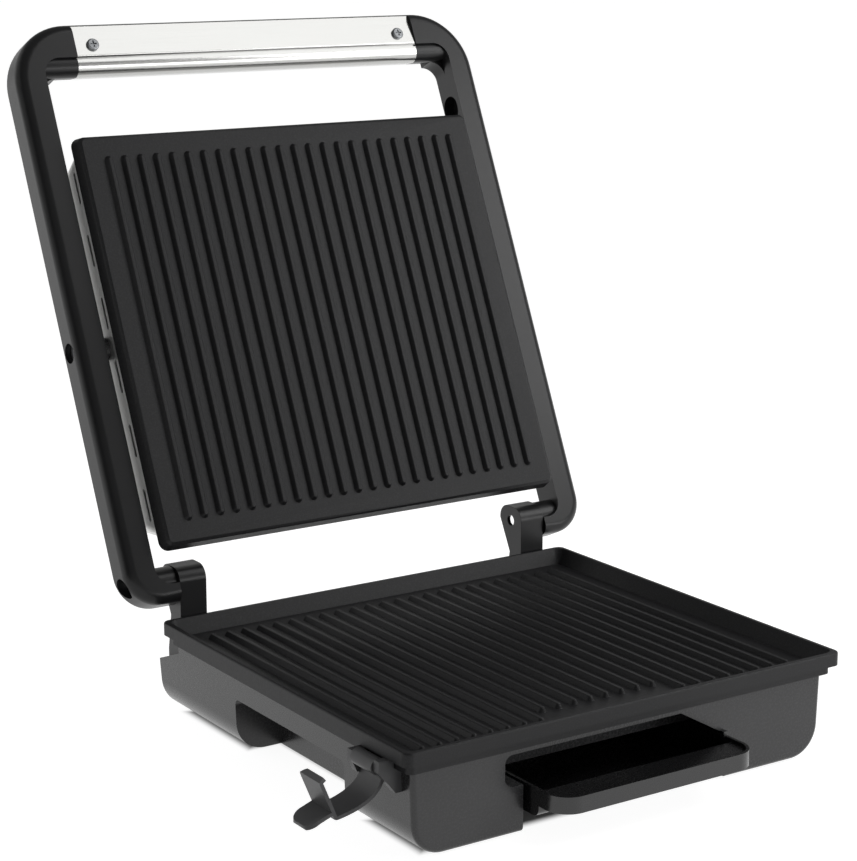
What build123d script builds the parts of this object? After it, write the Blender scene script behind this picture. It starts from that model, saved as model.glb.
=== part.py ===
from build123d import *
import os
from math import atan2, degrees

# Panini press. Millimetres, +Z up, +Y to the hinge side, X to the right seen from the front.
# The origin lies on the counter, below the middle of the lower grill plate.
# The lid is modelled shut and flat, then turned back about the hinge to its open rest position.

os.makedirs("parts", exist_ok=True)

# Clearances
RUN_FIT = 0.05
MOVE_GAP = 0.4
SCREW_CLEAR = 0.2

# Base housing
FOOT_STANDOFF = 1.5
BODY_W = 284.0
BODY_H = 49.0
BODY_DRAFT = 1.8
BODY_EDGE_R = 19.0
BODY_FRONT = -127.5
BODY_BACK = 129.0
BODY_CORNER_R = 3.0
WALL = 2.5
FLOOR_T = 3.5
DECK_BACK = 155.0
DECK_H = 32.0
DECK_DRAFT = 2.6
DECK_CHEEK_H = 10.0
DECK_CHEEK_T = 4.0
CUT_PAST = 9.0
GRIP_HALF = 60.0
GRIP_DEPTH = 31.0
GRIP_H = 33.5
GRIP_R = 4.0

# Front recess and the tunnel of the drip tray
RECESS_LEFT = -83.0
RECESS_RIGHT_LOW = 69.0
RECESS_RIGHT_HIGH = 37.0
RECESS_DEPTH = 27.5
RECESS_LOW = 27.0
RECESS_HIGH = 45.2
RECESS_R = 5.0
TRAY_W = 137.0
TRAY_SIDE_GAP = 2.5
TRAY_BACK = -35.0
TRAY_BOTTOM = 12.5
TRAY_H = 16.0
TRAY_WALL = 1.8
TRAY_LIP_FRONT = -158.0
TRAY_CORNER_R = 14.0
TRAY_APRON_BACK = -136.2
TRAY_APRON_DEPTH = 2.0
TRAY_KEEL_R = 5.0
TRAY_LIP_RAISE = 6.5
TRAY_HEADROOM = 0.8
TRAY_STOP_L = 3.2
TRAY_STOP_W = 3.0
TRAY_STOP_H = 2.5
TRAY_RUNNER_W = 7.0
TRAY_RUNNER_T = 2.0
TRAY_RUNNER_FRONT = -112.0

# Lower grill plate
PLATE_W = 300.0
PLATE_D = 270.0
SKIRT_H = 8.0
STEP_H = 5.5
STEP_INSET = 4.0
PLATE_CORNER_R = 5.0
RIM_T = 3.0
RIM_ROUND = 1.2
BASIN_DEPTH = 9.4
BASIN_TAPER = 28.0
BASIN_CORNER_R = 6.0
RIB_COUNT = 24
RIB_PITCH = 11.0
RIB_W = 5.6
RIB_H = 2.8
RIB_TAPER = 30.0
RIB_CREST_R = 0.9
RIB_LENGTH = 232.0
DRAIN_RIBS = 8
DRAIN_RIB_CUT = 14.0
DRAIN_W = 60.0
DRAIN_D = 6.0
DRAIN_Y = -118.5

# Heating elements, reflectors and what sits on the plates
ELEMENT_R = 3.25
ELEMENT_SUNK = 1.75
ELEMENT_X = 100.0
ELEMENT_Y = 75.0
ELEMENT_END_X = 25.0
ELEMENT_END_Y = 104.0
ELEMENT_BEND_R = 18.0
TERMINAL_R = 1.5
TERMINAL_L = 10.0
REFLECTOR_W = 226.0
REFLECTOR_D = 176.0
REFLECTOR_T = 0.8
REFLECTOR_GAP = 9.0
REFLECTOR_R = 12.0
REFLECTOR_POST_R = 3.6
REFLECTOR_POST_X = 70.0
REFLECTOR_POST_Y = 52.0
SMALL_SCREW_R = 1.5
SMALL_HEAD_R = 3.0
SMALL_HEAD_H = 1.8
SMALL_SCREW_L = 6.0
THERMOSTAT_R = 8.5
THERMOSTAT_H = 7.0
THERMOSTAT_HOLE_R = 12.0
BLADE_W = 6.3
BLADE_T = 0.8
BLADE_L = 7.0
BLADE_X = 4.0
FUSE_R = 2.2
FUSE_L = 14.0
FUSE_X = 40.0
FUSE_Y = 18.0

# Screws that clamp the lower plate to the base
POST_X = 90.0
POST_Y = 86.0
POST_R = 5.0
POST_FOOT_H = 28.5
SCREW_R = 2.0
HEAD_R = 3.6
HEAD_H = 2.5
HEAD_BORE_R = 4.2
PLATE_SCREW_SEAT = 6.0
PLATE_SCREW_BITE = 10.0

# Bottom cover, feet, terminal block and cord gland
HATCH_W = 200.0
HATCH_FRONT = -18.0
HATCH_BACK = 66.0
HATCH_LEDGE = 6.0
HATCH_T = 1.5
HATCH_FIT = 0.3
FOOT_R = 8.0
FOOT_SEAT = 1.5
FOOT_X = 104.0
FOOT_FRONT_Y = -100.0
FOOT_BACK_INSET = 11.5
BLOCK_L = 36.0
BLOCK_D = 16.0
BLOCK_H = 14.0
BLOCK_X = 40.0
BLOCK_Y = 118.0
BLOCK_POLES = 3
GLAND_X = 96.0
GLAND_H = 17.0
GLAND_R = 7.0
GLAND_BORE_R = 3.6
GLAND_FLANGE_R = 9.5
GLAND_FLANGE_T = 3.0
GLAND_NUT_T = 4.0

# Hinge
HINGE_INSET = 7.0
HINGE_Z = 83.5
LID_OPEN_DEG = 114.5
BRACKET_IN = 118.0
BRACKET_W = 18.0
BRACKET_R = 12.0
BRACKET_RISE = 9.7
BRACKET_CAP_R = 8.5
BRACKET_FOOT_D = 17.0
BRACKET_FOOT_H = 6.0
BRACKET_WAIST_D = 13.0
BRACKET_WAIST_DROP = 2.0
BRACKET_PEEP_R = 3.6
BRACKET_BOSS_R = 7.0
BRACKET_BOSS_L = 5.5
HINGE_PIN_R = 4.0
HINGE_HEAD_R = 5.6
HINGE_HEAD_H = 3.6
HINGE_RECESS_R = 6.4
HINGE_SEAT_X = 158.0
HEX_R = 2.6
HEX_DEPTH = 2.2
BRACKET_SCREW_PITCH = 8.0
BRACKET_SCREW_L = 9.0
BRACKET_HEAD_R = 2.8

# Lid arms, in the shut position
ARM_IN = 150.6
ARM_W = 19.0
ARM_DROP = 12.3
ARM_RISE = 8.9
ARM_END_Y = -207.5
ARM_CORNER_R = 40.0
ARM_INNER_R = 10.0
STUB_START = 3.0
STUB_END = 14.0
STUB_CORNER_R = 22.0
STUB_INNER_R = 10.0
SLEEVE_R = 9.3
ARM_FRONT_ROUND = 7.0
ARM_BACK_ROUND = 2.0
POCKET_R = 11.0
OVAL_REACH = 288.0
OVAL_L = 18.0
OVAL_W = 16.5
OVAL_DEPTH = 8.0

# Handle, in the shut position
GRIP_LENGTH = 252.8
FACE_REACH = 23.0
FACE_RISE = 2.6
FACE_DROP = 11.5
LIP_REACH = 10.4
LIP_RISE = 8.9
GRIP_TOP = 8.9
GRIP_SKIN = 0.8
GRIP_ROUND = 4.0
GRIP_BACK_IN = 3.0
CREASE_DEPTH = 1.2
CREASE_ROUND = 1.0
BEAD_MID = 6.5
BEAD_MID_RISE = 1.6
CORE_D = 18.0
CORE_H = 10.0
CORE_SHIFT = 4.0
CORE_SINK = 1.0
CORE_TENON = 18.0
HANDLE_SCREW_X = 114.0
HANDLE_SCREW_BACK = 15.0
HANDLE_HEAD_R = 4.0
HANDLE_HEAD_H = 2.0
HANDLE_SCREW_L = 9.0
CROSS_L = 4.4
CROSS_W = 1.0
CROSS_DEPTH = 1.0

# Upper grill plate and its cover, in the shut position
UPPER_W = 287.0
UPPER_D = 258.0
UPPER_Y = 0.5
FACE_BELOW_HINGE = 23.0
UPPER_T = 4.5
UPPER_SKIRT_H = 9.0
UPPER_DRAFT = 2.0
UPPER_SKIRT_T = 3.0
UPPER_END_T = 7.0
UPPER_CORNER_R = 4.0
UPPER_INSIDE_R = 1.0
UPPER_CHAMFER = 1.6
COVER_W = 291.0
COVER_INSET = 5.0
COVER_H = 40.0
COVER_SLOPE = 14.0
COVER_END_R = 28.0
COVER_SIDE_R = 9.0
COVER_T = 0.7
COVER_FLANGE = 5.0
COVER_HOLE_R = 3.0
VENT_COUNT = 6
VENT_PITCH = 40.3
VENT_L = 20.5
VENT_W = 2.6
VENT_UP = 4.0
COVER_POST_X = 95.0
COVER_POST_Y = 85.0
COVER_POST_R = 4.0
COVER_SCREW_BITE = 12.0
COVER_DIMPLE_R = 5.0
COVER_DIMPLE_DEPTH = 2.4

# Floating pivots between arms and upper plate
PIVOT_REACH = 147.5
BOSS_R = 7.2
BOSS_FLANGE_R = 11.0
JOURNAL_R = 5.0
JOURNAL_END = 163.3
PIVOT_RECESS_R = 6.2
PIVOT_RECESS_X = 163.0
PIVOT_HEAD_R = 5.7
PIVOT_HEAD_H = 2.6
PIVOT_SCREW_L = 16.0
STRAP_T = 2.0
STRAP_W = 36.0
STRAP_FOOT = 20.0
STRAP_TOP = 10.0
STRAP_SCREW_Y = 11.0

# Side latch
LATCH_X = -152.5
LATCH_Z = 51.0
LATCH_FRONT = -112.0
LATCH_W = 20.0
LATCH_T = 2.0
KNUCKLE_R = 4.6
LATCH_PIN_R = 1.5
LATCH_BOW = [(0, 0), (2.9, -4.6), (1.1, -11.0), (-8.8, -18.6), (-16.6, -21.2), (-25.6, -22.8)]
LATCH_FINGER = [(-25.6, -22.8), (-27.2, -18.6), (-34.3, -1.6), (-31.9, 0.0)]
LATCH_TAB = [(-27.0, -19.5), (-35.5, -22.5), (-41.9, -25.8)]
STRAP_END_R = 4.0
TAB_R = 6.0
FINGER_R = 5.0
LUG_FRONT = -117.5
LUG_SKIN = 1.5
LUG_SIDE = [(-3.0, 4.6), (-3.4, -1.5), (2.3, -8.1), (7.1, -14.3)]
LUG_BACK_T = 5.0
LUG_FOOT = -9.4
LATCH_PLATE_T = 3.0
LATCH_SCREW_DROP = 5.8
LATCH_SCREW_REACH = 5.0
LATCH_BOSS_R = 4.8

# Levels and positions that follow from the sizes above
BODY_BOTTOM = FOOT_STANDOFF
BODY_TOP = BODY_BOTTOM + BODY_H
FLOOR_TOP = BODY_BOTTOM + FLOOR_T
DECK_Z = BODY_BOTTOM + DECK_H
GRIP_TOP_Z = BODY_BOTTOM + GRIP_H
RECESS_BACK = BODY_FRONT + RECESS_DEPTH
RECESS_FLOOR_Z = BODY_BOTTOM + RECESS_LOW
RECESS_TOP_Z = BODY_BOTTOM + RECESS_HIGH
TUNNEL_HALF = TRAY_W / 2 + TRAY_SIDE_GAP
TUNNEL_BACK = TRAY_BACK + TRAY_SIDE_GAP
TRAY_TOP = TRAY_BOTTOM + TRAY_H
TUNNEL_TOP = TRAY_TOP + TRAY_HEADROOM
STEP_TOP = BODY_TOP + STEP_H
RIM_TOP = STEP_TOP + SKIRT_H
BASIN_FLOOR = RIM_TOP - BASIN_DEPTH
REFLECTOR_Z = BODY_TOP - REFLECTOR_GAP
POST_FOOT = BODY_BOTTOM + POST_FOOT_H
HATCH_MID = (HATCH_FRONT + HATCH_BACK) / 2
FOOT_BACK_Y = DECK_BACK - FOOT_BACK_INSET
HINGE_Y = DECK_BACK - HINGE_INSET
BRACKET_OUT = BRACKET_IN + BRACKET_W
BRACKET_TOP = HINGE_Z + BRACKET_RISE
STUB_IN = BRACKET_OUT + MOVE_GAP
STUB_FRONT = HINGE_Y + STUB_START
STUB_BACK = HINGE_Y + STUB_END
ARM_OUT = ARM_IN + ARM_W
ARM_FACE_Z = HINGE_Z - ARM_DROP
ARM_BACK_Z = HINGE_Z + ARM_RISE
FACE_BACK_Y = ARM_END_Y + FACE_REACH
LIP_BACK_Y = FACE_BACK_Y + LIP_REACH
FACE_Z = HINGE_Z - FACE_DROP
FACE_END_Z = FACE_Z + FACE_RISE
LIP_Z = FACE_Z + LIP_RISE
GRIP_TOP_LEVEL = HINGE_Z + GRIP_TOP
FACE_RUN = FACE_REACH - CREASE_ROUND
FACE_TILT = degrees(atan2(FACE_RISE, FACE_RUN))
CORE_Y = ARM_END_Y + FACE_REACH / 2 + CORE_SHIFT
CORE_Z = HINGE_Z - CORE_SINK
UPPER_FACE = HINGE_Z - FACE_BELOW_HINGE
UPPER_BACK = UPPER_FACE + UPPER_T
UPPER_SKIRT_TOP = UPPER_FACE + UPPER_SKIRT_H
COVER_TOP = UPPER_SKIRT_TOP + COVER_H
UPPER_REFLECTOR_Z = UPPER_BACK + REFLECTOR_GAP
PIVOT_Y = HINGE_Y - PIVOT_REACH
COVER_IN = COVER_W / 2 - COVER_T
STRAP_X = UPPER_W / 2 - UPPER_SKIRT_T - STRAP_T - SCREW_CLEAR
LATCH_BACK = LATCH_FRONT + LATCH_W
LATCH_SEAT_X = -BODY_W / 2 + 2 * WALL
LATCH_SCREW_END = -BODY_W / 2 - LATCH_PLATE_T - LATCH_SCREW_REACH


def block(x, y, z):
    """Box between two limits along each axis."""
    size = Box(x[1] - x[0], y[1] - y[0], z[1] - z[0])
    return Pos((x[0] + x[1]) / 2, (y[0] + y[1]) / 2, (z[0] + z[1]) / 2) * size


def rod_x(radius, x, y, z):
    """Cylinder along X between two limits."""
    return Pos((x[0] + x[1]) / 2, y, z) * Rot(0, 90, 0) * Cylinder(radius, x[1] - x[0])


def rod_y(radius, x, y, z):
    """Cylinder along Y between two limits."""
    return Pos(x, (y[0] + y[1]) / 2, z) * Rot(90, 0, 0) * Cylinder(radius, y[1] - y[0])


def rod_z(radius, x, y, z):
    """Cylinder along Z between two limits."""
    return Pos(x, y, (z[0] + z[1]) / 2) * Cylinder(radius, z[1] - z[0])


def slab(width, depth, radius, z, y=0.0):
    """Plate with rounded corners between two heights."""
    outline = Pos(0, y, z[0]) * RectangleRounded(width, depth, radius)
    return extrude(outline, amount=z[1] - z[0])


def along_y(outline, y):
    """Extrude an outline drawn in X and Z between two positions along Y."""
    return extrude(Plane.XZ.offset(-y[1]) * outline, amount=y[1] - y[0])


def along_x(outline, x):
    """Extrude an outline drawn in Y and Z between two positions along X."""
    return extrude(Plane.YZ.offset(x[0]) * outline, amount=x[1] - x[0])


def rounded(points, radii):
    """Closed outline through the points, each corner rounded with its own radius."""
    outline = make_face(Polyline(*points, close=True))
    for point, radius in zip(points, radii):
        if radius > 0:
            corner = outline.vertices().sort_by_distance((point[0], point[1], 0))[0]
            outline = fillet(corner, radius)
    return outline


def corners(x, y):
    """The four points at plus and minus x and y."""
    return [(-x, -y), (x, -y), (x, y), (-x, y)]


def join(shapes):
    """One node made of separate solids."""
    solids = []
    for shape in shapes:
        solids.extend(shape.solids())
    return Compound(children=solids)


def open_lid(shape):
    """Turn a piece of the lid from shut to open about the hinge."""
    turn = Pos(0, HINGE_Y, HINGE_Z) * Rot(-LID_OPEN_DEG, 0, 0) * Pos(0, -HINGE_Y, -HINGE_Z)
    return turn * shape


def screw_up(x, y, seat, bite, radius=SCREW_R, head_r=HEAD_R, head_h=HEAD_H):
    """Pan-head screw pointing up, its head below the seat."""
    screw = rod_z(head_r, x, y, (seat - head_h, seat))
    screw += rod_z(radius, x, y, (seat, seat + bite))
    drive = Pos(x, y, seat - head_h) * extrude(RegularPolygon(head_r / 2, 6), amount=head_h / 2)
    return screw - drive


# Base: housing, cover, feet and electrical parts
def body_outline(inset=0.0, raise_top=0.0):
    """Front view of the housing: slight draft, large radius along the lower side edges."""
    half_top = BODY_W / 2 - inset
    half_low = half_top - BODY_DRAFT
    low = BODY_BOTTOM + (FLOOR_T if inset else 0.0)
    top = BODY_TOP + raise_top
    points = [(-half_top, top), (half_top, top), (half_low, low), (-half_low, low)]
    radius = BODY_EDGE_R - inset
    return rounded(points, [0, 0, radius, radius])


def base_shell():
    """Housing with four legs, hand grips in its sides, front recess and rear deck between cheeks."""
    shell = along_y(body_outline(), (BODY_FRONT, DECK_BACK))
    front_edges = shell.edges().filter_by(Axis.Z, tolerance=4).group_by(Axis.Y)[0]
    shell = fillet(front_edges, BODY_CORNER_R)
    past = DECK_BACK + CUT_PAST
    ramp = [(BODY_BACK, DECK_Z + DECK_CHEEK_H), (DECK_BACK, DECK_Z), (past, DECK_Z)]
    ramp.extend([(past, BODY_TOP + 1), (BODY_BACK, BODY_TOP + 1)])
    shell -= along_x(make_face(Polyline(*ramp, close=True)), (-BODY_W, BODY_W))
    cheek_in = BODY_W / 2 - DECK_CHEEK_T
    shell -= block((-cheek_in, cheek_in), (BODY_BACK, DECK_BACK + 1), (DECK_Z, BODY_TOP + 1))
    draft = [(DECK_BACK, DECK_Z), (past, DECK_Z), (past, 0)]
    draft.append((DECK_BACK - DECK_DRAFT, BODY_BOTTOM))
    shell -= along_x(make_face(Polyline(*draft, close=True)), (-BODY_W, BODY_W))

    cavity = along_y(body_outline(WALL, 1.0), (BODY_FRONT + WALL, DECK_BACK - WALL - DECK_DRAFT))
    cavity -= block((-BODY_W, BODY_W), (BODY_BACK - WALL, DECK_BACK), (DECK_Z - WALL, BODY_TOP + 2))
    tunnel_wall = TUNNEL_HALF + WALL
    cavity -= block((-tunnel_wall, tunnel_wall), (BODY_FRONT, TUNNEL_BACK + WALL), (0, TUNNEL_TOP + WALL))
    cavity -= along_y(recess_outline(WALL, BODY_TOP + 2), (BODY_FRONT, RECESS_BACK + WALL))
    for side in (-1, 1):
        grip_x = sorted((side * (BODY_W / 2 - GRIP_DEPTH), side * BODY_W))
        wall_x = sorted((side * (BODY_W / 2 - GRIP_DEPTH - WALL), side * BODY_W))
        wall_y = (-GRIP_HALF - WALL, GRIP_HALF + WALL)
        cavity -= block(wall_x, wall_y, (0, GRIP_TOP_Z + WALL))
        grip = [(-GRIP_HALF, -1), (GRIP_HALF, -1), (GRIP_HALF, GRIP_TOP_Z), (-GRIP_HALF, GRIP_TOP_Z)]
        shell -= along_x(rounded(grip, [0, 0, GRIP_R, GRIP_R]), grip_x)
    shell -= cavity
    tunnel_y = (BODY_FRONT - 1, TUNNEL_BACK)
    shell -= block((-TUNNEL_HALF, TUNNEL_HALF), tunnel_y, (0, TUNNEL_TOP))
    shell -= along_y(recess_outline(), (BODY_FRONT - 1, RECESS_BACK))
    for side in (-1, 1):
        runner_x = sorted((side * (TUNNEL_HALF - TRAY_RUNNER_W), side * TUNNEL_HALF))
        runner_z = (TRAY_BOTTOM - MOVE_GAP - TRAY_RUNNER_T, TRAY_BOTTOM - MOVE_GAP)
        shell += block(runner_x, (TRAY_RUNNER_FRONT, TUNNEL_BACK), runner_z)

    shell -= drain_slot((RECESS_TOP_Z - 1, BODY_TOP + 1))
    for x, y in corners(POST_X, POST_Y):
        shell += rod_z(POST_R + WALL, x, y, (FLOOR_TOP, POST_FOOT))
        shell -= rod_z(HEAD_BORE_R, x, y, (0, POST_FOOT - PLATE_SCREW_SEAT))
        shell -= rod_z(SCREW_R + SCREW_CLEAR, x, y, (0, POST_FOOT + 1))
    for x, y in foot_places():
        shell -= rod_z(FOOT_R, x, y, (0, BODY_BOTTOM + FOOT_SEAT))
    hatch_d = HATCH_BACK - HATCH_FRONT
    shell -= slab(HATCH_W, hatch_d, HATCH_LEDGE, (0, BODY_BOTTOM + HATCH_T), HATCH_MID)
    opening = (HATCH_W - 2 * HATCH_LEDGE, hatch_d - 2 * HATCH_LEDGE)
    shell -= slab(opening[0], opening[1], HATCH_LEDGE / 2, (0, FLOOR_TOP + 1), HATCH_MID)
    for x, y in hatch_screw_places():
        shell += rod_z(HATCH_LEDGE / 2, x, y, (BODY_BOTTOM + HATCH_T, FLOOR_TOP + SMALL_SCREW_L))
        shell -= rod_z(SMALL_SCREW_R, x, y, (0, BODY_BOTTOM + HATCH_T + SMALL_SCREW_L))
    shell -= rod_y(GLAND_R, GLAND_X, (BODY_BACK, past), BODY_BOTTOM + GLAND_H)
    bracket_hole = (DECK_Z - BRACKET_SCREW_L, DECK_Z + 1)
    for x, y in bracket_screw_places():
        shell += rod_z(SCREW_R + WALL, x, y, (DECK_Z - BRACKET_SCREW_L, DECK_Z - WALL / 2))
    for x, y in bracket_screw_places():
        shell -= rod_z(SCREW_R, x, y, bracket_hole)
    for y, z in latch_screw_places():
        shell += rod_x(LATCH_BOSS_R, (LATCH_SEAT_X - WALL, LATCH_SEAT_X), y, z)
        shell -= rod_x(SMALL_SCREW_R + SCREW_CLEAR, (-BODY_W, LATCH_SEAT_X + 1), y, z)
    return shell


def recess_outline(grow=0.0, top=RECESS_TOP_Z):
    """Front view of the recess above the tray: round corners on the left, slanted end on the right."""
    low = RECESS_FLOOR_Z - grow
    left = RECESS_LEFT - grow
    lean = (RECESS_RIGHT_LOW - RECESS_RIGHT_HIGH) / (RECESS_TOP_Z - RECESS_FLOOR_Z)
    right_low = RECESS_RIGHT_LOW + 2 * grow
    points = [(left, low), (right_low, low), (right_low - lean * (top - low), top), (left, top)]
    radius = 0.0 if grow else RECESS_R
    return rounded(points, [radius, 0, 0, radius])


def drain_slot(z):
    """Slot that lets fat run from the plate into the tray."""
    outline = Pos(0, DRAIN_Y, z[0]) * SlotOverall(DRAIN_W, DRAIN_D)
    return extrude(outline, amount=z[1] - z[0])


def foot_places():
    """Centres of the four feet."""
    return [(side * FOOT_X, y) for side in (-1, 1) for y in (FOOT_FRONT_Y, FOOT_BACK_Y)]


def hatch_screw_places():
    """Screws of the bottom cover, in the middle of its ledge."""
    x = HATCH_W / 2 - HATCH_LEDGE / 2
    return [(-x, HATCH_MID), (x, HATCH_MID)]


def bottom_cover():
    """Sheet cover over the access opening in the floor."""
    hatch_d = HATCH_BACK - HATCH_FRONT
    sheet = slab(
        HATCH_W - 2 * HATCH_FIT, hatch_d - 2 * HATCH_FIT, HATCH_LEDGE,
        (BODY_BOTTOM, BODY_BOTTOM + HATCH_T), HATCH_MID)
    for x, y in hatch_screw_places():
        sheet -= rod_z(SMALL_SCREW_R + SCREW_CLEAR, x, y, (0, FLOOR_TOP))
    return sheet


def bottom_screws():
    """Two small screws that hold the bottom cover."""
    seat = BODY_BOTTOM
    head_h = FOOT_STANDOFF * 0.8
    bite = HATCH_T + SMALL_SCREW_L
    return join(
        [screw_up(x, y, seat, bite, SMALL_SCREW_R, SMALL_HEAD_R, head_h) for x, y in hatch_screw_places()])


def rubber_feet():
    """Four rubber feet let into the legs."""
    return join([rod_z(FOOT_R, x, y, (0, BODY_BOTTOM + FOOT_SEAT)) for x, y in foot_places()])


def terminal_block():
    """Insulating block with a row of clamp holes, on the floor at the back."""
    body = block(
        (BLOCK_X - BLOCK_L / 2, BLOCK_X + BLOCK_L / 2), (BLOCK_Y - BLOCK_D / 2, BLOCK_Y + BLOCK_D / 2),
        (FLOOR_TOP, FLOOR_TOP + BLOCK_H))
    pitch = BLOCK_L / BLOCK_POLES
    for pole in range(BLOCK_POLES):
        x = BLOCK_X + (pole - (BLOCK_POLES - 1) / 2) * pitch
        body -= rod_y(TERMINAL_R * 1.3, x, (BLOCK_Y - BLOCK_D, BLOCK_Y + BLOCK_D), FLOOR_TOP + BLOCK_H / 3)
        for row in (-1, 1):
            y = BLOCK_Y + row * BLOCK_D / 4
            body -= rod_z(SCREW_R, x, y, (FLOOR_TOP + BLOCK_H / 2, FLOOR_TOP + BLOCK_H + 1))
    return body


def cord_gland():
    """Bush in the rear wall: flange outside, nut inside, open bore for the lead."""
    z = BODY_BOTTOM + GLAND_H
    wall_out = DECK_BACK - DECK_DRAFT * (DECK_H - GLAND_H) / DECK_H
    wall_in = DECK_BACK - WALL - DECK_DRAFT
    gland = rod_y(GLAND_R, GLAND_X, (wall_in - GLAND_NUT_T, wall_out + GLAND_FLANGE_T), z)
    flange = rod_y(GLAND_FLANGE_R, GLAND_X, (wall_in, wall_out + GLAND_FLANGE_T), z)
    gland += flange - along_y(body_outline(), (BODY_FRONT, DECK_BACK)) - rear_wall_solid()
    gland += rod_y(GLAND_FLANGE_R, GLAND_X, (wall_in - GLAND_NUT_T, wall_in), z)
    return gland - rod_y(GLAND_BORE_R, GLAND_X, (wall_in - GLAND_NUT_T - 1, DECK_BACK + CUT_PAST), z)


def rear_wall_solid():
    """Space taken by the drafted rear wall."""
    low = DECK_BACK - DECK_DRAFT
    profile = [(BODY_BACK, BODY_BOTTOM), (low, BODY_BOTTOM), (DECK_BACK, DECK_Z), (BODY_BACK, DECK_Z)]
    return along_x(make_face(Polyline(*profile, close=True)), (-BODY_W / 2, BODY_W / 2))


# Plates and heating
def element_path(z):
    """Loop of the heating rod at one height, its two ends near the hinge side."""
    points = [
        (-ELEMENT_END_X, ELEMENT_END_Y, z), (-ELEMENT_END_X, ELEMENT_Y, z), (-ELEMENT_X, ELEMENT_Y, z),
        (-ELEMENT_X, -ELEMENT_Y, z), (ELEMENT_X, -ELEMENT_Y, z), (ELEMENT_X, ELEMENT_Y, z),
        (ELEMENT_END_X, ELEMENT_Y, z), (ELEMENT_END_X, ELEMENT_END_Y, z)]
    return FilletPolyline(*points, radius=ELEMENT_BEND_R)


def heating_rod(z):
    """Tubular rod swept along its loop."""
    path = element_path(z)
    section = Plane(origin=path @ 0, z_dir=path % 0) * Circle(ELEMENT_R)
    return sweep(section, path=path)


def heating_element(z):
    """Heating rod with its two terminal pins."""
    element = heating_rod(z)
    for side in (-1, 1):
        pin_y = (ELEMENT_END_Y - TERMINAL_R, ELEMENT_END_Y + TERMINAL_L)
        element += rod_y(TERMINAL_R, side * ELEMENT_END_X, pin_y, z)
    return element


def ribs(z, up, lengths):
    """Row of tapered ribs, crests and ends rounded, on a plate face; lengths gives each rib's ends."""
    row = []
    for index, (front, back) in enumerate(lengths):
        x = (index - (RIB_COUNT - 1) / 2) * RIB_PITCH
        outline = Pos(x, (front + back) / 2, z) * Rot(0, 0, 90) * SlotOverall(back - front, RIB_W)
        rib = extrude(outline, amount=RIB_H, dir=(0, 0, up), taper=RIB_TAPER)
        crest = rib.faces().sort_by(Axis.Z)[-1 if up > 0 else 0]
        row.append(fillet(crest.edges(), RIB_CREST_R))
    return row


def reflector_posts(z):
    """Four posts that carry a reflector sheet."""
    return [rod_z(REFLECTOR_POST_R, x, y, z) for x, y in corners(REFLECTOR_POST_X, REFLECTOR_POST_Y)]


def lower_grill_plate():
    """Casting with a stepped skirt, a basin, ribs, a drain slot and posts below."""
    plate = slab(PLATE_W, PLATE_D, PLATE_CORNER_R, (STEP_TOP, RIM_TOP))
    plate = fillet(plate.faces().sort_by(Axis.Z)[-1].edges(), RIM_ROUND)
    step_w = PLATE_W - 2 * STEP_INSET
    step_d = PLATE_D - 2 * STEP_INSET
    plate += slab(step_w, step_d, PLATE_CORNER_R - 1, (BODY_TOP, STEP_TOP))
    opening = RectangleRounded(PLATE_W - 2 * RIM_T, PLATE_D - 2 * RIM_T, BASIN_CORNER_R)
    basin = extrude(Pos(0, 0, RIM_TOP) * opening, amount=BASIN_DEPTH, dir=(0, 0, -1), taper=BASIN_TAPER)
    plate -= basin
    half = RIB_LENGTH / 2
    first = (RIB_COUNT - DRAIN_RIBS) // 2
    lengths = []
    for index in range(RIB_COUNT):
        short = DRAIN_RIB_CUT if first <= index < first + DRAIN_RIBS else 0.0
        lengths.append((-half + short, half))
    plate += ribs(BASIN_FLOOR, 1, lengths)
    plate -= drain_slot((BODY_TOP - 1, RIM_TOP))
    plate -= heating_rod(element_level())
    plate += reflector_posts((REFLECTOR_Z, BODY_TOP))
    for x, y in corners(REFLECTOR_POST_X, REFLECTOR_POST_Y):
        plate -= rod_z(SMALL_SCREW_R, x, y, (REFLECTOR_Z - 1, REFLECTOR_Z + SMALL_SCREW_L))
    for x, y in corners(POST_X, POST_Y):
        plate += rod_z(POST_R, x, y, (POST_FOOT, BODY_TOP))
        plate -= rod_z(SCREW_R, x, y, (POST_FOOT - 1, POST_FOOT + PLATE_SCREW_BITE))
    return plate


def element_level():
    """Height of the lower heating rod, partly sunk into the plate."""
    return BODY_TOP + ELEMENT_SUNK - ELEMENT_R


def reflector(z):
    """Reflector sheet with holes for its screws and the thermostat."""
    sheet = slab(REFLECTOR_W, REFLECTOR_D, REFLECTOR_R, z)
    sheet -= rod_z(THERMOSTAT_HOLE_R, 0, 0, (z[0] - 1, z[1] + 1))
    for x, y in corners(REFLECTOR_POST_X, REFLECTOR_POST_Y):
        sheet -= rod_z(SMALL_SCREW_R + SCREW_CLEAR, x, y, (z[0] - 1, z[1] + 1))
    return sheet


def lower_reflector():
    """Sheet below the lower heating element."""
    sheet = reflector((REFLECTOR_Z - REFLECTOR_T, REFLECTOR_Z))
    for x, y in corners(POST_X, POST_Y):
        sheet -= rod_z(POST_R + 2 * WALL, x, y, (REFLECTOR_Z - 2, REFLECTOR_Z + 2))
    return sheet


def lower_reflector_screws():
    """Four screws from below through the reflector into the plate."""
    seat = REFLECTOR_Z - REFLECTOR_T
    bite = REFLECTOR_T + SMALL_SCREW_L
    places = corners(REFLECTOR_POST_X, REFLECTOR_POST_Y)
    return join([screw_up(x, y, seat, bite, SMALL_SCREW_R, SMALL_HEAD_R, SMALL_HEAD_H) for x, y in places])


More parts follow.
